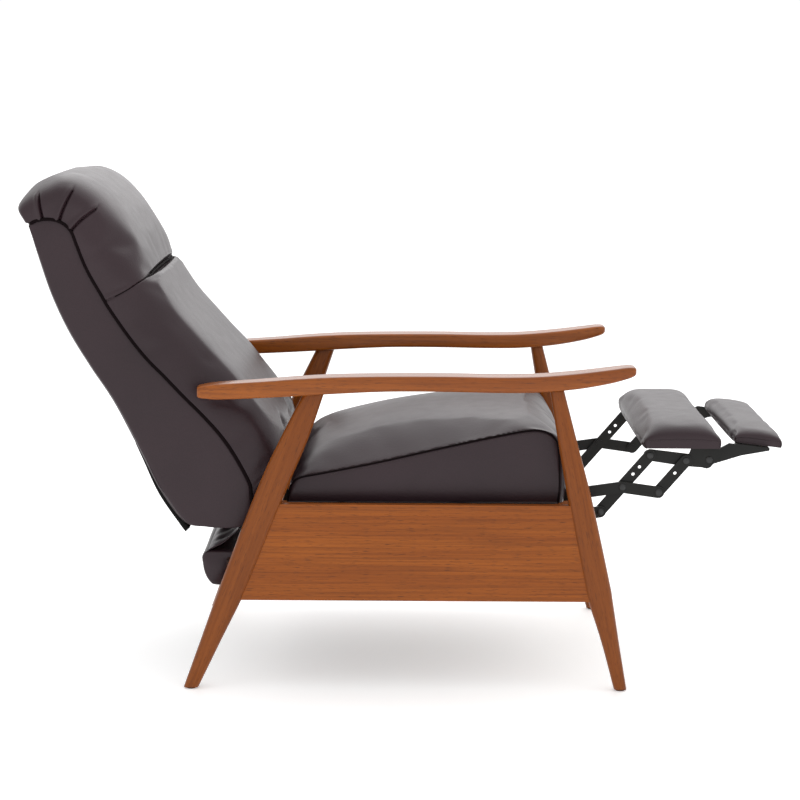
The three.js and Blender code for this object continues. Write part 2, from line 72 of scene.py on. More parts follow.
def at(x, z, y=0.0):
    """A design point, or arrays of them, in the row frame, in metres."""
    xyz = (x - CENTRE_X) / 1000, np.asarray(y) / 1000, (z + GLIDE_T) / 1000
    return np.stack(np.broadcast_arrays(*xyz), axis=-1)


# ---------------------------------------------------------------- mesh helpers
def smooth_line(knots, count):
    """count points on a Catmull-Rom curve through the knots, which may have any number of columns."""
    k = np.asarray(knots, float)
    k = np.vstack([2 * k[0] - k[1], k, 2 * k[-1] - k[-2]])
    place = np.linspace(0, len(k) - 3 - 1e-9, count)
    i = place.astype(int)
    f = (place - i)[:, None]
    a, b, c, d = k[i], k[i + 1], k[i + 2], k[i + 3]
    return 0.5 * (2 * b + (c - a) * f + (2 * a - 5 * b + 4 * c - d) * f**2 + (3 * b - a - 3 * c + d) * f**3)


def evenly(line, count):
    """The line resampled at equal steps along it."""
    line = np.asarray(line, float)
    run = np.r_[0, np.cumsum(np.linalg.norm(np.diff(line, axis=0), axis=1))]
    want = np.linspace(0, run[-1], count)
    return np.column_stack([np.interp(want, run, line[:, c]) for c in range(line.shape[1])])


def finer(grid, times):
    """A grid of points with times as many rows and columns, smoothly between the old ones."""
    rows, cols, _ = grid.shape
    grid = smooth_line(grid.reshape(rows, -1), (rows - 1) * times + 1).reshape(-1, cols, 3)
    grid = grid.transpose(1, 0, 2)
    grid = smooth_line(grid.reshape(cols, -1), (cols - 1) * times + 1).reshape(-1, grid.shape[1], 3)
    return grid.transpose(1, 0, 2)


def grid_normals(grid):
    across = np.gradient(grid, axis=1)
    along = np.gradient(grid, axis=0)
    n = np.cross(along, across)
    return n / np.maximum(np.linalg.norm(n, axis=2, keepdims=True), 1e-9)


def make(name, points, faces):
    mesh = bpy.data.meshes.new(name)
    mesh.from_pydata([tuple(p) for p in np.asarray(points).reshape(-1, 3)], [], faces)
    mesh.validate()
    mesh.shade_smooth()
    piece = bpy.data.objects.new(name, mesh)
    scene.collection.objects.link(piece)
    return piece


def grid_faces(rows, cols, wrap=False):
    """Faces between neighbours in a grid of points, whose last column joins the first one if wrap is set."""
    faces = []
    for r in range(rows - 1):
        here, above = r * cols, (r + 1) * cols
        for c in range(cols if wrap else cols - 1):
            d = (c + 1) % cols
            faces.append((here + c, above + c, above + d, here + d))
    return faces


def loft(name, rings):
    """A closed skin through rings of points, with flat ends."""
    rings = np.asarray(rings)
    rows, cols, _ = rings.shape
    faces = grid_faces(rows, cols, wrap=True)
    faces.append(tuple(range(cols - 1, -1, -1)))
    faces.append(tuple((rows - 1) * cols + c for c in range(cols)))
    return outward(make(name, rings, faces))


def outward(piece):
    bm = bmesh.new()
    bm.from_mesh(piece.data)
    bmesh.ops.recalc_face_normals(bm, faces=bm.faces)
    bm.to_mesh(piece.data)
    bm.free()
    return piece


def shell(name, grid, thick):
    """A grid of points as a closed sheet of that thickness, in metres, behind the grid."""
    inner = grid - grid_normals(grid) * thick
    rows, cols, _ = grid.shape
    count = rows * cols
    rim = [(r, 0) for r in range(rows)] + [(rows - 1, c) for c in range(1, cols)]
    rim += [(r, cols - 1) for r in range(rows - 2, -1, -1)] + [(0, c) for c in range(cols - 2, 0, -1)]
    faces = grid_faces(rows, cols)
    faces += [tuple(reversed([v + count for v in f])) for f in faces]
    edge = [r * cols + c for r, c in rim]
    for a, b in zip(edge, edge[1:] + edge[:1]):
        faces.append((a, a + count, b + count, b))
    return outward(make(name, np.concatenate([grid.reshape(-1, 3), inner.reshape(-1, 3)]), faces))


def rounded_section(half_a, half_b, radius, corner=5):
    """Points round a rectangle with round corners."""
    points = []
    for quarter, (sa, sb) in enumerate(((1, 1), (-1, 1), (-1, -1), (1, -1))):
        for step in range(corner + 1):
            angle = math.pi / 2 * (quarter + step / corner)
            a, b = sa * (half_a - radius), sb * (half_b - radius)
            points.append([a + radius * math.cos(angle), b + radius * math.sin(angle)])
    return np.array(points)


def tube(name, line, radius, sides=10, beside=(0, 1, 0)):
    """A round cord along a line of points in metres, with closed ends. radius is a number or one for each
    point, and beside is any direction across the cord."""
    line = np.asarray(line, float)
    way = np.gradient(line, axis=0)
    way /= np.linalg.norm(way, axis=1, keepdims=True)
    up = np.cross(way, beside)
    up /= np.linalg.norm(up, axis=1, keepdims=True)
    out = np.cross(way, up)
    turn = np.linspace(0, 2 * math.pi, sides, endpoint=False)
    radii = np.broadcast_to(radius, len(line))
    rings = [
        p + r * (np.outer(np.cos(turn), u) + np.outer(np.sin(turn), o))
        for p, u, o, r in zip(line, up, out, radii)
    ]
    return loft(name, rings)


def joined(name, parts):
    """Several pieces as one."""
    points, faces = [], []
    for part in parts:
        start = len(points)
        points += [v.co[:] for v in part.data.vertices]
        faces += [tuple(start + v for v in p.vertices) for p in part.data.polygons]
        bpy.data.objects.remove(part)
    return make(name, points, faces)


# ---------------------------------------------------------------- materials
class Nodes:
    """Short names for the few shader nodes that the materials use."""

    def __init__(self, name):
        self.material = bpy.data.materials.new(name)
        self.material.use_nodes = True
        self.tree = self.material.node_tree
        self.shader = self.tree.nodes["Principled BSDF"]
        self.place = self.tree.nodes.new("ShaderNodeTexCoord").outputs["Object"]

    def node(self, kind, inputs=(), **settings):
        made = self.tree.nodes.new("ShaderNode" + kind)
        for key, value in settings.items():
            setattr(made, key, value)
        for key, value in dict(inputs).items():
            if isinstance(value, bpy.types.NodeSocket):
                self.tree.links.new(value, made.inputs[key])
            else:
                made.inputs[key].default_value = value
        return made

    def mapped(self, scale, turn=0.0):
        """The place on the piece, turned and then stretched, so that grain can run along a leaning piece."""
        first = self.place
        if turn:
            first = self.node("Mapping", {"Vector": first, "Rotation": (0, turn, 0)}).outputs[0]
        return self.node("Mapping", {"Vector": first, "Scale": scale}).outputs[0]

    def noise(self, scale, detail=3.0, roughness=0.5, distortion=0.0, vector=None):
        inputs = {"Vector": vector or self.place, "Scale": scale, "Detail": detail}
        inputs |= {"Roughness": roughness, "Distortion": distortion}
        return self.node("TexNoise", inputs).outputs[0]

    def cells(self, scale, feature="F1"):
        made = self.node("TexVoronoi", {"Vector": self.place, "Scale": scale}, feature=feature)
        return made.outputs["Distance"]

    def ramp(self, value, *stops):
        made = self.node("ValToRGB", {"Fac": value})
        elements = made.color_ramp.elements
        for element, (position, color) in ((elements[0], stops[0]), (elements[1], stops[-1])):
            element.position, element.color = position, (*color, 1)
        for position, color in stops[1:-1]:
            elements.new(position).color = (*color, 1)
        return made.outputs[0]

    def span(self, value, low, high, to_low, to_high):
        inputs = {"Value": value, "From Min": low, "From Max": high, "To Min": to_low, "To Max": to_high}
        return self.node("MapRange", inputs).outputs[0]

    def mix(self, share, a, b):
        made = self.node("Mix", data_type="RGBA")
        for index, value in ((0, share), (6, a), (7, b)):
            if isinstance(value, bpy.types.NodeSocket):
                self.tree.links.new(value, made.inputs[index])
            else:
                made.inputs[index].default_value = value
        return made.outputs[2]

    def bump(self, height, distance, strength=1.0, under=None):
        inputs = {"Height": height, "Distance": distance, "Strength": strength}
        if under is not None:
            inputs["Normal"] = under
        return self.node("Bump", inputs).outputs[0]

    def finish(self, color, roughness, normal, **fixed):
        for key, value in {"Base Color": color, "Roughness": roughness, "Normal": normal}.items():
            if isinstance(value, bpy.types.NodeSocket):
                self.tree.links.new(value, self.shader.inputs[key])
            elif value is not None:
                self.shader.inputs[key].default_value = value
        for key, value in fixed.items():
            self.shader.inputs[key.replace("_", " ")].default_value = value
        return self.material


def leather(name, dark, light, roughness=0.36, gloss=0.37):
    n = Nodes(name)
    fine = n.cells(520.0, "SMOOTH_F1")
    coarse = n.cells(210.0)
    pores = n.noise(1400.0, 2.0)
    creases = n.noise(26.0, 6.0, 0.62, 0.8)
    soft = n.noise(5.0, 3.0)
    color = n.ramp(soft, (0.3, dark), (0.72, light))
    color = n.mix(n.span(fine, 0.0, 0.5, 0.22, 0.0), color, (0.004, 0.003, 0.003, 1))
    normal = n.bump(creases, 0.0003, 0.06)
    normal = n.bump(coarse, 0.0004, 0.22, normal)
    normal = n.bump(fine, 0.00028, 0.5, normal)
    normal = n.bump(pores, 0.0001, 0.3, normal)
    rough = n.span(n.noise(38.0, 4.0), 0.3, 0.7, roughness, roughness + 0.04)
    sheen = {"Specular_Tint": (1.0, 0.93, 0.965, 1), "Coat_Weight": 0.04, "Coat_Roughness": 0.3}
    return n.finish(color, rough, normal, Specular_IOR_Level=gloss, **sheen)


def wood(
    name, turn=0.0, across=(1.0, 1.0), pale=(0.335, 0.09, 0.008), deep=(0.235, 0.056, 0.0045), coat=0.08
):
    """Stained walnut whose grain runs along X, turned about Y by that many radians."""
    n = Nodes(name)
    along = n.mapped((1.6, 17.0 * across[0], 17.0 * across[1]), turn)
    lines = n.mapped((3.2, 150.0 * across[0], 150.0 * across[1]), turn)
    fleck = n.mapped((46.0, 900.0, 900.0), turn)
    bands = n.noise(1.0, 4.0, 0.55, 0.7, along)
    grain = n.noise(1.0, 6.0, 0.62, 0.5, lines)
    pores = n.noise(1.0, 2.0, 0.5, 0.0, fleck)
    color = n.ramp(bands, (0.28, deep), (0.5, tuple(0.5 * (a + b) for a, b in zip(pale, deep))), (0.74, pale))
    color = n.mix(n.span(grain, 0.42, 0.7, 0.0, 0.8), color, (0.15, 0.036, 0.004, 1))
    dots = n.span(pores, 0.6, 0.7, 0.0, 0.75)
    color = n.mix(dots, color, (0.06, 0.017, 0.005, 1))
    normal = n.bump(grain, 0.0003, 0.25)
    normal = n.bump(n.span(dots, 0.0, 1.0, 1.0, 0.0), 0.00015, 0.35, normal)
    rough = n.span(grain, 0.3, 0.7, 0.27, 0.38)
    return n.finish(color, rough, normal, Specular_IOR_Level=0.2, Coat_Weight=coat, Coat_Roughness=0.2)


def plain(name, color, rough, metal, scale, depth, gloss=0.5):
    """Painted, drawn, moulded or raw stock: a fine surface and a little wear in one colour."""
    n = Nodes(name)
    grain = n.noise(scale, 4.0, 0.6)
    wear = n.noise(24.0, 5.0, 0.65)
    made = n.ramp(wear, (0.35, tuple(c * 0.75 for c in color)), (0.68, color))
    normal = n.bump(grain, depth, 0.4)
    rough = n.span(wear, 0.3, 0.7, rough - 0.06, rough + 0.08)
    return n.finish(made, rough, normal, Metallic=metal, Specular_IOR_Level=gloss)


def woven(name, color, threads=700.0):
    n = Nodes(name)
    wave = {"Vector": n.place, "Scale": threads, "Distortion": 0.3}
    warp, weft = (n.node("TexWave", wave, bands_direction=way).outputs[1] for way in ("X", "Y"))
    height = n.node("Math", {0: warp, 1: weft}, operation="MAXIMUM").outputs[0]
    tone = n.mix(n.span(height, 0.4, 1.0, 0.0, 1.0), tuple(c * 0.4 for c in color) + (1,), (*color, 1))
    return n.finish(tone, 0.8, n.bump(height, 0.0004, 0.7), Specular_IOR_Level=0.15)


hide = leather("brown_leather", (0.0175, 0.008, 0.0105), (0.025, 0.012, 0.0155))
# A matte, near-black copy of the brown leather is painted shade. The piping and welts are the same leather as
# the cover, painted this dark for the shadow in the seam lines, and this material also fills the crease and
# pleat dents as painted shade.
piping_hide_painted_shade = leather("piping_leather_painted_shade", (0.004, 0.0018, 0.0022), (0.006, 0.003, 0.0035), 0.8, 0.04)
thread = woven("sewing_thread", (0.1, 0.075, 0.075), 1500.0)
steel = plain("black_steel", (0.017, 0.017, 0.016), 0.42, 0.2, 900.0, 0.0001, gloss=0.22)
wire = plain("spring_wire", (0.36, 0.36, 0.37), 0.32, 1.0, 1200.0, 0.00006)
rivet_metal = plain("rivet_metal", (0.05, 0.05, 0.05), 0.3, 0.8, 800.0, 0.00008)
glide_plastic = plain("glide_plastic", (0.035, 0.022, 0.016), 0.55, 0.0, 700.0, 0.0001)
tape = woven("closure_tape", (0.012, 0.012, 0.012))
raw_wood = wood("raw_wood", pale=(0.56, 0.38, 0.2), deep=(0.42, 0.26, 0.12))
stained_rail = wood("stained_rail", pale=(0.02, 0.012, 0.01), deep=(0.012, 0.007, 0.006))
arm_wood = wood("arm_walnut", coat=0.25)
panel_wood = wood("panel_walnut", across=(1.0, 1.5))


def dress(piece, material, body=None, replaces=()):
    piece.data.materials.clear()
    piece.data.materials.append(material)
    if body:
        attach(piece, body)
    if replaces:
        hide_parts(*replaces)
    return piece


# ---------------------------------------------------------------- wood frame
# Stations of a leg from the floor up: height, rear edge, front edge, thickness.
FRONT_LEG = [
    [0, 409, 433, 24], [90, 384, 417, 31], [172, 357, 403.5, 36], [207, 348, 397, 36],
    [364, 316, 361, 36], [475, 295.5, 331, 33], [578, 278, 303.5, 27],
]
REAR_LEG = [
    [0, -407, -379, 24], [90, -375, -336, 31], [172, -346, -296, 36], [240, -321, -267, 36],
    [391, -263, -207, 36], [480, -222, -170, 34], [568, -178, -140, 28],
]
# Stations of an arm from its rear tip: distance forward, underside, top, width.
ARM = [
    [-376, 558, 576, 32], [-372, 556, 577.7, 37], [-360, 555, 579.8, 41], [-335, 554, 583, 45],
    [-262, 557.5, 588, 51], [-188, 562, 594, 55], [-114, 567, 598, 57], [-20, 571.5, 600, 58],
    [90, 571.8, 600.5, 58], [180, 570.5, 599.5, 58], [255, 571.5, 601, 58], [327, 578, 607, 57],
    [385, 588, 614, 54], [418, 596.5, 618.3, 49], [432, 601.5, 618.3, 43], [436.5, 605.5, 616, 36],
]
for side, sign in SIDES:
    for name, stations in (("front_leg", FRONT_LEG), ("rear_leg", REAR_LEG)):
        rings = []
        for z, rear, front, thick in smooth_line(stations, 70):
            section = rounded_section((front - rear) / 2, thick / 2, 0.36 * thick, 8)
            rings.append([at((front + rear) / 2 + a, z, sign * LEG_Y + b) for a, b in section])
        lean = math.atan2(stations[4][0] - stations[2][0], stations[4][1] - stations[2][1])
        piece = loft(f"carved_{name}_{side}", rings)
        leg_wood = wood(f"{name}_walnut_{side}", lean, pale=(0.25, 0.067, 0.008), deep=(0.175, 0.043, 0.0045))
        dress(piece, leg_wood, "frame", [f"{name}_{side}"])
    rings = []
    for x, under, top, width in smooth_line(ARM, 150):
        section = rounded_section(width / 2, (top - under) / 2, min(5.5, (top - under) * 0.42), 5)
        rings.append([at(x, (top + under) / 2 + b, sign * ARM_Y + a) for a, b in section])
    dress(loft(f"carved_arm_{side}", rings), arm_wood, "frame", [f"arm_{side}"])
    dress(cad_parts[f"side_panel_{side}"], panel_wood)

# ---------------------------------------------------------------- CAD pieces that keep their own shape
STEEL = (
    "glide_track", "seat_plate", "lower_link", "cross_link", "front_link", "drive_link", "footrest_bracket",
    "flip_arm", "hinge_bracket",
)
BEVELLED = (*STEEL, "side_panel", "front_glide", "rear_glide")
STAINED = ("rear_rail", "front_cross_rail", "back_bottom_rail")
for name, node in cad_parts.items():
    family = name.rsplit("_", 1)[0]
    if family in STEEL or name == "seat_cross_tube":
        dress(node, steel)
    elif name.startswith("seat_spring"):
        dress(node, wire)
    elif "glide" in name:
        dress(node, glide_plastic)
    elif "rail" in name or "bar" in name or "board" in name or "stile" in name:
        if name != "rear_rail_cover":
            dress(node, stained_rail if name in STAINED else raw_wood)
    soften = 0.003 if family == "side_panel" else 0.0006
    if family in BEVELLED or node.data.materials[0] == raw_wood:
        bevel = node.modifiers.new("soft_edges", "BEVEL")
        bevel.width, bevel.segments = soften, 3
        bevel.limit_method, bevel.angle_limit = "ANGLE", math.radians(35)


# ---------------------------------------------------------------- upholstery
def spread(count, half, crowd):
    """Positions from -half to half, closer together near the sides."""
    u = np.linspace(-1, 1, count)
    return half * ((1 - crowd) * u + crowd * np.sin(u * math.pi / 2))


def rim_to_rim(half, power, count, reach, rise=None):
    """Evenly spaced points over a superellipse, or over a softer dome if rise is less than power: the place
    across the piece, and the share of the way from seam to face."""
    turn = np.linspace(0, math.pi, 721)
    place = -half * np.sign(np.cos(turn)) * np.abs(np.cos(turn)) ** (2 / power)
    y, height = evenly(np.column_stack([place, reach * np.sin(turn) ** (2 / (rise or power))]), count).T
    return y, height / reach


def crown(seam, face, y, share):
    """A grid over seam lines at both sides and the face between them: rows follow the lines and columns cross
    the piece. share, how far each column is from seam to face, may differ from row to row."""
    flat = seam[:, None] + (face - seam)[:, None] * np.atleast_2d(share)[..., None]
    return at(flat[..., 0], flat[..., 1], y)


CLOTH_FRAMES = 20


def inflated(grid, pressure=4.0, cap=0.012, loose=0.012, smooth=4):
    """The grid puffed up by a cloth simulation that holds its rim, each point within cap of its start."""
    rows, cols, _ = grid.shape
    cloth_piece = make("cloth", grid, grid_faces(rows, cols))
    rim = [r * cols + c for r in range(rows) for c in range(cols) if r in (0, rows - 1) or c in (0, cols - 1)]
    cloth_piece.vertex_groups.new(name="rim").add(rim, 1.0, "REPLACE")
    cloth = cloth_piece.modifiers.new("cloth", "CLOTH")
    s = cloth.settings
    s.quality, s.mass, s.air_damping = 5, 0.25, 2.0
    s.tension_stiffness = s.compression_stiffness = 18.0
    s.shear_stiffness, s.bending_stiffness = 8.0, 1.2
    s.use_pressure, s.uniform_pressure_force = True, pressure
    s.shrink_min = -loose
    s.vertex_group_mass = "rim"
    s.effector_weights.gravity = 0.0
    cloth.point_cache.frame_start, cloth.point_cache.frame_end = 1, CLOTH_FRAMES
    for number in range(1, CLOTH_FRAMES + 1):
        scene.frame_set(number)
    posed = cloth_piece.evaluated_get(bpy.context.evaluated_depsgraph_get())
    moved = np.array([v.co[:] for v in posed.data.vertices]).reshape(grid.shape)
    bpy.data.objects.remove(cloth_piece)
    scene.frame_set(1)
    shift = moved - grid
    for _ in range(smooth):  # the finest wrinkles even out, as they do in leather over foam
        inside = shift[1:-1, 1:-1]
        beside = shift[:-2, 1:-1] + shift[2:, 1:-1] + shift[1:-1, :-2] + shift[1:-1, 2:]
        shift[1:-1, 1:-1] = 0.5 * inside + 0.125 * beside
    far = np.linalg.norm(shift, axis=2, keepdims=True)
    return grid + shift * np.minimum(1.0, cap / np.maximum(far, 1e-9))


def run_along(grid):
    """How far each point is from the first row, along its column."""
    return np.cumsum(np.linalg.norm(np.diff(grid, axis=0, prepend=grid[:1]), axis=2), axis=0)


def denser(grid, rows, reach=4, times=4):
    """The grid with times as many rows within reach of each given row, and the row numbers of the result."""
    extra = [row + np.linspace(-reach, reach, 2 * reach * times + 1) for row in rows]
    place = np.unique(np.round(np.clip(np.concatenate([np.arange(len(grid)), *extra]), 0, len(grid) - 1), 3))
    low = np.minimum(place.astype(int), len(grid) - 2)
    share = (place - low)[:, None, None]
    return grid[low] * (1 - share) + grid[low + 1] * share, place


def dent(grid, place, row, depth, width, lip=0.0):
    """Presses a sewn line into the grid and raises a soft lip beyond it, in metres. place holds the grid's
    row numbers; row, depth, width and lip are numbers or one number for each column."""
    cols = grid.shape[1]
    row, depth, width, lip = (np.broadcast_to(v, cols) for v in (row, depth, width, lip))
    run = run_along(grid)
    middle = np.array([np.interp(row[c], place, run[:, c]) for c in range(cols)])
    off = (run - middle) / width
    push = lip * np.exp(-((off - 2.5) ** 2) / 5) * (off > 0) - depth * np.exp(-(np.abs(off) ** 1.5))
    return grid + grid_normals(grid) * push[..., None]


def line_at(grid, place, row):
    """The line of points across the grid at that row, which may be one row for each column."""
    cols = grid.shape[1]
    row = np.broadcast_to(row, cols)
    return np.array([[np.interp(row[c], place, grid[:, c, k]) for k in range(3)] for c in range(cols)])


def inset_line(grid, distance):
    """The line that runs that far in from the grid's first column, and the normals there."""
    turned = grid.transpose(1, 0, 2)
    run, normals = run_along(turned), grid_normals(grid)
    line = [[np.interp(distance, run[:, r], grid[r, :, k]) for k in range(3)] for r in range(len(grid))]
    beside = [[np.interp(distance, run[:, r], normals[r, :, k]) for k in range(3)] for r in range(len(grid))]
    return np.array(line), np.array(beside)


def stitches(name, line, normals, length=0.0042, gap=0.0018, radius=0.00055):
    """Short raised threads along a line that lies on a surface."""
    whole = np.linalg.norm(np.diff(line, axis=0), axis=1).sum()
    line = evenly(np.column_stack([line, normals]), max(4, int(whole / (length + gap)) * 4 + 1))
    parts = []
    for i in range(0, len(line) - 4, 4):
        a, b = line[i, :3], line[i + 3, :3]
        n = line[i + 1, 3:]
        way = (b - a) / np.linalg.norm(b - a)
        across = np.cross(n, way)
        rings = []
        for f, r in ((0.0, 0.35), (0.15, 0.85), (0.5, 1.0), (0.85, 0.85), (1.0, 0.35)):
            turn = np.linspace(0, 2 * math.pi, 6, endpoint=False)
            middle = a + (b - a) * f + n * radius * (0.9 * math.sin(math.pi * f) - 0.1)
            rings.append(middle + radius * r * (np.outer(np.cos(turn), n) + np.outer(np.sin(turn), across)))
        parts.append(loft("stitch", rings))
    return joined(name, parts)


# ---- back and head, in one leather cover
STEPS = 6  # rows of the first grid between two rows of SEAM_AND_FACE
COLUMNS = 64  # columns of the first grid
FINER = 3  # how many times finer the grid gets once it is inflated
CREASE_HALF = 240  # how far from the middle the crease stands open, in millimetres
PLEATS_FROM = 263  # how far from the middle the pleats begin
pairs = smooth_line(SEAM_AND_FACE, (len(SEAM_AND_FACE) - 1) * STEPS + 1)
across, share = rim_to_rim(BODY_Y, 5.5, COLUMNS, 100)
back = crown(pairs[:, :2], pairs[:, 2:], across, share)[:, ::-1]
crease_row = CREASE * STEPS
lower = inflated(back[: crease_row + 1], 4.0, 0.009)
upper = inflated(back[crease_row:], 4.0, 0.011)
back = finer(np.concatenate([lower, upper[1:]]), FINER)
columns = np.arange(back.shape[1]) / FINER
across, share = (np.interp(columns, np.arange(COLUMNS), v) for v in (across, share))
rows = [knot * STEPS * FINER for knot in (CREASE, *(knot for pleat in PLEATS for knot in pleat))]
back, place = denser(back, rows)
crease = (CREASE - 0.7 * (1 - share)) * STEPS * FINER
open_share = np.maximum(0, 1 - (across / CREASE_HALF) ** 2) ** 0.7
back = dent(back, place, crease, 0.003 + 0.013 * open_share, 0.0016 + 0.003 * open_share, 0.0012 * open_share)
pleat_share = 1 / (1 + np.exp((PLEATS_FROM - np.abs(across)) / 3.5))
pleat_lines = []
for at_seam, at_end in PLEATS:
    row = (at_seam + (at_end - at_seam) * np.minimum(1, share / 0.75)) * STEPS * FINER
    back = dent(back, place, row, 0.005 * pleat_share, 0.0022, 0.0025 * pleat_share)
    pleat_lines.append(line_at(back, place, row))
cover = shell("back_upholstery", back, 0.0025)
dress(cover, hide, "back", ["back_cushion", "head_cushion"])
# Painted shade: a near-black cord along the crease fills the groove, and it is thicker where the crease
# stands open. Short near-black cords at the pleats' ends are painted shade in the pleat dents too.
gap = 0.0011 + 0.0036 * open_share
seam_shade_cords = [tube("seam", line_at(back, place, crease)[6:-6], gap[6:-6], 12, (-0.6, 0, 0.8))]
for line in pleat_lines:
    for end in (line[: np.argmax(pleat_share < 0.5)], line[::-1][: np.argmax(pleat_share < 0.5)]):
        seam_shade_cords.append(tube("seam", end, 0.0006, 8, (0.8, 0, 0.6)))
dress(joined("back_seam_shade_cords", seam_shade_cords), piping_hide_painted_shade, "back")

# ---- side panels, piping and outer panel of the back
SIDE_ROWS, SIDE_COLUMNS = 120, 26
rear_edge = evenly(smooth_line([[-330, 298], [-368, 300]] + REAR_LINE, 160), SIDE_ROWS)
seam_edge = smooth_line([[-330, 298], [-300, 302]] + [row[:2] for row in SEAM_AND_FACE], 240)
seam_edge = evenly(seam_edge, SIDE_ROWS)
for side, sign in SIDES:
    grid = np.zeros((SIDE_ROWS, SIDE_COLUMNS, 3))
    for j, f in enumerate(np.linspace(0, 1, SIDE_COLUMNS)):  # from the rear edge to the seam
        puff = 3.2 * math.sin(math.pi * f) ** 0.5
        roll = -7.0 * max(0.0, 1 - f / 0.06) ** 2
        for i in range(SIDE_ROWS):
            x, z = rear_edge[i] * (1 - f) + seam_edge[i] * f
            ends = min(1.0, i / 10, (SIDE_ROWS - 1 - i) / 8)
            grid[i, j] = at(x, z, sign * (275.5 + puff * ends + roll))
    panel = shell(f"back_side_cover_{side}", grid[:, :: sign], 0.003)
    dress(panel, hide, "back", [f"back_side_{side}"])
    # The piping along the side seam is real, but its near-black colour is painted shade for the shadow in the
    # seam.
    line = [at(x, z, sign * 279.3) for x, z in evenly(seam_edge[8:], 200)]
    dress(tube(f"back_piping_painted_shade_{side}", line, 0.0031), piping_hide_painted_shade, "back")


PANEL_HALF, HEM_HALF = 275, 262  # half widths of the outer back and of the band along its lower edge


def rear_grid(line, half, lift):
    """Points over the outer back: the line from side to side, swollen in the middle and raised by lift."""
    way = np.gradient(line, axis=0)
    away = np.column_stack([-way[:, 1], way[:, 0]]) / np.linalg.norm(way, axis=1, keepdims=True)
    y = np.linspace(-half, half, 48)
    past_hem = np.maximum(0.0, (np.abs(y) - HEM_HALF) / (PANEL_HALF - HEM_HALF))
    swell = 0.5 + 3.5 * (1 - (np.abs(y) / PANEL_HALF) ** 4) - 5.0 * past_hem**2
    flat = line[:, None] + away[:, None] * (swell[:, None] + np.reshape(lift, (-1, 1, 1)))
    return at(flat[..., 0], flat[..., 1], y)


outer = evenly(smooth_line([[-396, 303]] + REAR_LINE[1:] + [[-693, 875]], 120), 90)
panel = shell("outer_back_cover", rear_grid(outer, PANEL_HALF, 0.0), 0.003)
dress(panel, hide, "back", ["back_panel"])
hem = evenly(smooth_line([[-398, 296]] + REAR_LINE[:4], 60), 60)[:42]
outside = rear_grid(hem, HEM_HALF, np.linspace(10.5, 0.6, len(hem)))
inside = rear_grid(hem, HEM_HALF, -0.4)
rings = np.concatenate([outside, inside[::-1]])
dress(loft("closure_flap", rings.transpose(1, 0, 2)), tape, "back", ["closure_strip"])

# ---- seat
# The seam round the top of the seat's side, and the surface level with it, from rear underside to front.
SEAT_SEAM_AND_FACE = [
    [-211, 351, -212, 351], [-209, 368, -212, 370], [-203, 385, -206, 393], [-188, 397, -172, 434],
    [-144, 406, -114, 458], [-42, 427, -24, 481], [60, 451, 66, 494], [162, 474, 150, 498],
    [232, 488, 226, 499], [262, 490, 266, 497], [284, 483, 295, 487], [296, 469, 311, 473],
    [300, 450, 322, 452], [301, 430, 328, 430], [301, 400, 328, 404], [301, 372, 325, 376],
    [300, 351, 321, 352],
]
pairs = smooth_line(SEAT_SEAM_AND_FACE, 100)
across, share = rim_to_rim(BODY_Y - 0.5, 2.3, 60, 55, 1.3)
# The cushion is a soft dome at the back and squarer towards the front.
front = np.clip((np.linspace(0, len(SEAT_SEAM_AND_FACE) - 1, 100) - 8) / 3, 0, 1)
share = share ** (1 - 0.55 * front[:, None])
seat = finer(inflated(crown(pairs[:, :2], pairs[:, 2:], across, share), 4.0, 0.010), 2)
cover = shell("seat_upholstery", seat, 0.0025)
dress(cover, hide, "seat", ["seat_cushion"])
# Rows of the seat's grid, and of its boxing's, where the seam runs along the top and down the front.
SEAM_TOP, BOXING_TOP = slice(34, 168), slice(22, 112)
BOXING_ROWS, BOXING_COLUMNS = 130, 22
BASE_Z = 349.5
edge = evenly(pairs[:, :2], BOXING_ROWS)
base_x = np.interp(np.linspace(0, 1, BOXING_ROWS), [0, 0.07, 0.81, 1.0], [-211.5, -209, 299, 300])
for side, sign in SIDES:
    grid = np.zeros((BOXING_ROWS, BOXING_COLUMNS, 3))
    for j, f in enumerate(np.linspace(0, 1, BOXING_COLUMNS)):  # from the underside to the seam
        puff = 2.6 * math.sin(math.pi * f) ** 0.7 - 1.2 * (1 - f) ** 6
        for i in range(BOXING_ROWS):
            x, z = base_x[i] * (1 - f) + edge[i, 0] * f, BASE_Z * (1 - f) + edge[i, 1] * f
            ends = min(1.0, i / 10, (BOXING_ROWS - 1 - i) / 8)
            grid[i, j] = at(x, z, sign * (278.6 + puff * ends - 4.0 * (1 - ends) ** 2))
    boxing = grid[:, :: -sign]
    dress(shell(f"seat_boxing_{side}", boxing, 0.0022), hide, "seat")
    # The welt along the seat's seam is real, but its near-black colour is painted shade for the shadow in the
    # seam.
    line = np.array([at(x, z, sign * 279.2) for x, z in edge])
    dress(tube(f"seat_welt_painted_shade_{side}", line, 0.0019), piping_hide_painted_shade, "seat")
    for name, surface, way, keep in (("upper", seat, -sign, SEAM_TOP), ("lower", boxing, sign, BOXING_TOP)):
        points, normals = inset_line(surface[:, ::way], 0.0052)
        row = stitches(f"seat_stitches_{name}_{side}", points[keep], way * normals[keep])
        dress(row, thread, "seat")

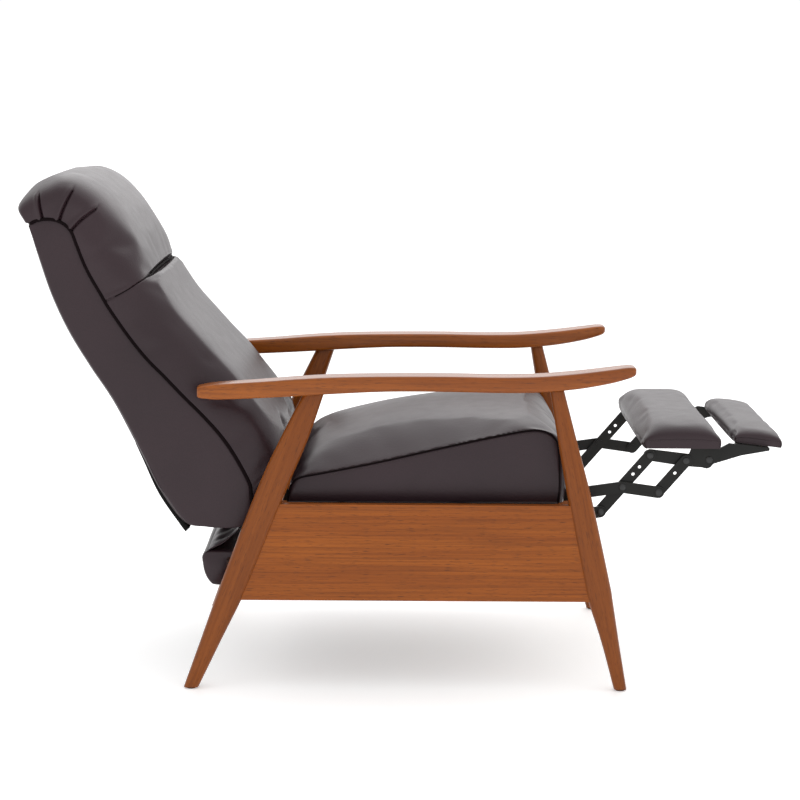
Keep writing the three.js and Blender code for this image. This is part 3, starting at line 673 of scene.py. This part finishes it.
# ---- footrest pads
def pad(name, node, body, x_range, z_range, half, tilt, pivot, corner):
    """A stuffed pad with a crowned top, turned by tilt about a pivot."""
    (x0, x1), (z0, z1) = x_range, z_range
    length = x1 - x0
    rise = z1 - z0
    # From the underside's end to the middle of the top: how far in and how far up.
    rim = [(8, 0.6), (6, 0.4 * corner), (9, 0.75 * corner), (0.27 * length, 0.9 * corner)]
    rim.append((0.5 * length, 0.93 * corner))
    face = [(2, 0.6), (0, 0.7 * corner), (0.35 * corner, 1.4 * corner), (0.2 * length, rise - 2)]
    face.append((0.5 * length, rise))

    def both_halves(line):
        there = [(x0 + a, z0 + b) for a, b in line]
        back_again = [(x1 - a, z0 + b) for a, b in line[-2::-1]]
        return smooth_line(there + back_again, 44)

    grid = crown(both_halves(rim), both_halves(face), *rim_to_rim(half, 3.8, 50, 34))
    grid = finer(inflated(grid, 3.0, 0.0035), 2)
    if tilt:
        centre = at(*pivot)
        flat = grid - at(0, 0)
        x, z = flat[..., 0].copy(), flat[..., 2].copy()
        grid[..., 0] = centre[0] + x * math.cos(tilt) + z * math.sin(tilt)
        grid[..., 2] = centre[2] - x * math.sin(tilt) + z * math.cos(tilt)
    piece = loft(name, grid.transpose(1, 0, 2))
    dress(piece, hide, body, [node])
    for side, sign in SIDES:
        col = 0 if sign < 0 else -1
        dress(tube(f"{name}_welt_{side}", grid[:, col], 0.0011, 8), hide, body)
    return grid


pad("footrest_upholstery", "footrest_pad", "footrest", (460, 613), (452.5, 498.5), 258, 0.0, None, 19)
pad("flip_upholstery", "flip_pad", "flip", (42, 142), (36, 64), 213, math.radians(7), (590, 428), 14)

# ---- rear rail cover and flap
profile = [
    [-297, 188], [-297, 246], [-300, 249], [-353, 250.5], [-368, 248.5], [-374.5, 242],
    [-375, 232], [-370, 207], [-360, 190], [-347, 184.5], [-300, 185],
]
rings = []
for y in spread(50, 266, 0.5):
    inset = 3.0 * max(0.0, (abs(y) - 261) / 5) ** 2
    sag = 1.2 * math.sin(y / 37.0)
    middle = np.mean(profile, axis=0)
    ring = smooth_line(profile + profile[:1], 90)[:-1]
    ring = ring + (middle - ring) / np.linalg.norm(middle - ring, axis=1, keepdims=True) * (inset + sag * 0.3)
    rings.append([at(x, z, y) for x, z in ring])
dress(loft("rail_upholstery", rings), hide, "frame", ["rear_rail_cover"])
FLAP_ROWS, FLAP_COLUMNS = 30, 90
grid = np.zeros((FLAP_ROWS, FLAP_COLUMNS, 3))
flap_line = evenly(smooth_line([[-364, 252], [-352, 263], [-330, 277], [-306, 293]], 40), FLAP_ROWS)
for j, y in enumerate(np.linspace(-258, 258, FLAP_COLUMNS)):
    for i, (x, z) in enumerate(flap_line):
        slack = math.sin(math.pi * i / (FLAP_ROWS - 1))
        fold = 2.6 * math.sin(y / 19.0 + 2.2 * math.sin(y / 61.0)) + 1.3 * math.sin(y / 8.3 + i / 6.0)
        grid[i, j] = at(x + slack * fold, z - slack * (fold * 0.8 + 2.5), y)
flap = shell("flap_leather", grid, 0.0018)
dress(flap, hide, "frame", ["rear_flap"])

# ---------------------------------------------------------------- rivet heads on the outside of the links
LINK_OUT = {"lower": 247.5, "cross": 241.5, "bracket": 235.5}
RIVETS = [
    ("lower_links", "lower", [(424, 376), (493.3, 366.3)]),
    ("cross_links", "cross", [(476, 436.8)]),
    ("front_links", "cross", [(545.3, 427.1)]),
    ("drive_links", "lower", [(383, 328)]),
    ("footrest", "bracket", [(590, 428)]),
]
HEAD_PROFILE = ((6.6, -0.4), (6.8, 0.3), (6.3, 1.0), (4.8, 1.6), (2.4, 1.9), (0.4, 2.0))  # radius, height
for body, plane, spots in RIVETS:
    for side, sign in SIDES:
        heads = []
        for x, z in spots:
            turn = np.linspace(0, 2 * math.pi, 24, endpoint=False)
            rings = [
                [at(x + r * math.cos(t), z + r * math.sin(t), sign * (LINK_OUT[plane] + h)) for t in turn]
                for r, h in HEAD_PROFILE
            ]
            heads.append(loft("head", rings))
        dress(joined(f"{body}_rivets_{side}", heads), rivet_metal, body)

# ---------------------------------------------------------------- floor, light and camera
floor = make("floor", [(-200, -200, 0), (200, -200, 0), (200, 200, 0), (-200, 200, 0)], [(0, 1, 2, 3)])
n = Nodes("pale_floor")
pale = n.ramp(n.noise(0.7, 2.0), (0.3, (0.96, 0.96, 0.96)), (0.7, (0.98, 0.98, 0.98)))
floor.data.materials.append(n.finish(pale, 0.6, None, Emission_Color=(1, 1, 1, 1), Emission_Strength=0.3))

world = bpy.data.worlds.new("studio")
scene.world = world
world.use_nodes = True
world.node_tree.nodes["Background"].inputs[0].default_value = (1, 1, 1, 1)
world.node_tree.nodes["Background"].inputs[1].default_value = 1.03


def softbox(name, where, aim, size, power):
    data = bpy.data.lights.new(name, "AREA")
    data.shape, data.size, data.size_y, data.energy = "RECTANGLE", size[0], size[1], power
    lamp = bpy.data.objects.new(name, data)
    scene.collection.objects.link(lamp)
    lamp.location = where
    way = np.array(aim, float) - np.array(where, float)
    lamp.rotation_euler = (math.atan2(math.hypot(way[0], way[1]), -way[2]), 0, math.atan2(-way[0], way[1]))


softbox("top_light", (0.3, 0.4, 2.8), (0, 0, 0.5), (3.0, 2.2), 12)
softbox("back_light", (0.6, 3.4, 2.3), (0, 0, 0.7), (4.5, 2.4), 30)

camera = bpy.data.objects.new("camera", bpy.data.cameras.new("camera"))
scene.collection.objects.link(camera)
scene.camera = camera
camera.data.lens = 98.9
camera.data.sensor_width = 36.0
camera.location = (-CENTRE_X / 1000, -4.357, 1.177 + GLIDE_T / 1000)
pitch, roll = Matrix.Rotation(math.radians(90 - 8.79), 3, "X"), Matrix.Rotation(math.radians(0.35), 3, "Z")
camera.rotation_euler = (pitch @ roll).to_euler()
scene.view_settings.view_transform = "Standard"
